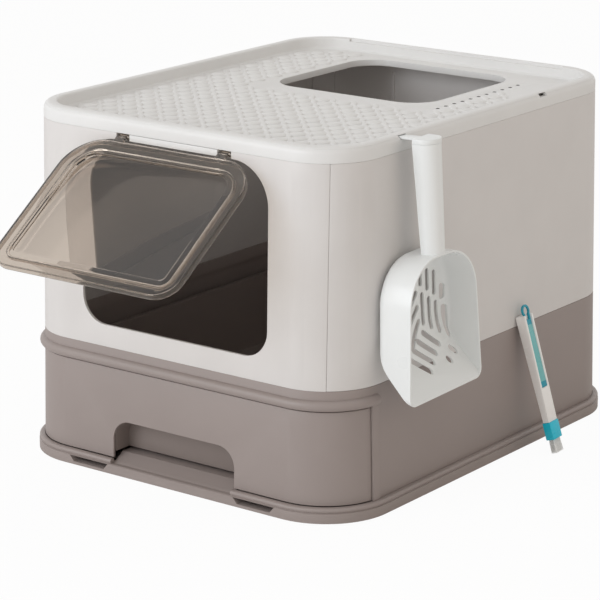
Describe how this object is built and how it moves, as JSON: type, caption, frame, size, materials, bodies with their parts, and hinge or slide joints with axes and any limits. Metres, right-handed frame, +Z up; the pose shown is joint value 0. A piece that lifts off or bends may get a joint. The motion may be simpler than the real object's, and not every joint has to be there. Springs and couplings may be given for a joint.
{
  "type": "drawer litter box",
  "caption": "Enclosed cat litter box with a pull-out litter drawer, swinging clear flap, lift-off lid with top entry, hook-on scoop and small brush.",
  "frame": {"origin": "middle of the base's underside, on the surface that the box stands on", "axes": "+Z up, the drawer and the flap face -Y, the scoop and the brush are on the +X side"},
  "size_m": [0.4605, 0.6465, 0.3611],
  "materials": {
    "base_taupe": "moulded, fine matt grain",
    "drawer_taupe": "moulded, fine matt grain",
    "tray_taupe": "moulded, satin",
    "panel_white": "moulded, satin, warm white",
    "lid_white": "moulded, satin, white",
    "smoke_clear": "clear smoke-tinted moulded plastic",
    "steel": "drawn wire",
    "scoop_white": "moulded, smooth",
    "brush_grey": "moulded, smooth, light grey",
    "teal": "moulded, smooth",
    "bristle": "nylon filament",
    "rubber": "moulded"
  },
  "bodies": {
    "box": {"base_pan": "base_taupe", "base_shell": "base_taupe", "base_feet": "rubber", "drawer_runner_left": "tray_taupe", "drawer_runner_right": "tray_taupe", "drawer_stops": "tray_taupe", "front_panel": "panel_white", "back_panel": "panel_white", "left_panel": "panel_white", "right_panel": "panel_white", "brace_front_left": "panel_white", "brace_front_right": "panel_white", "brace_back_left": "panel_white", "brace_back_right": "panel_white", "hinge_cover": "lid_white", "flap_hinge_pins": "steel"},
    "drawer": {"drawer_tray": "tray_taupe", "drawer_front": "drawer_taupe", "drawer_front_clips": "tray_taupe"},
    "flap": {"flap": "smoke_clear"},
    "lid": {"lid": "lid_white"},
    "scoop": {"scoop": "scoop_white", "scoop_cap": "scoop_white"},
    "brush": {"brush_bar": "brush_grey", "brush_collar": "teal", "brush_insert": "teal", "brush_bristles": "bristle"}
  },
  "joints": [
    {"name": "drawer_slide", "type": "slide", "parent": "box", "child": "drawer", "axis": [0, -1, 0], "range_m": [0, 0.33]},
    {"name": "flap_swing", "type": "hinge", "parent": "box", "child": "flap", "pos_m": [0, -0.2405, 0.341], "axis": [-1, 0, 0], "range_deg": [-129.5, 20]},
    {"name": "lid_lift", "type": "slide", "parent": "box", "child": "lid", "axis": [0, 0, 1], "range_m": [0, 0.15]},
    {"name": "scoop_unhook", "type": "slide", "parent": "lid", "child": "scoop", "axis": [1, 0, 0], "range_m": [0, 0.06]},
    {"name": "brush_away", "type": "slide", "parent": "box", "child": "brush", "axis": [1, 0, 0], "range_m": [0, 0.08]}
  ]
}
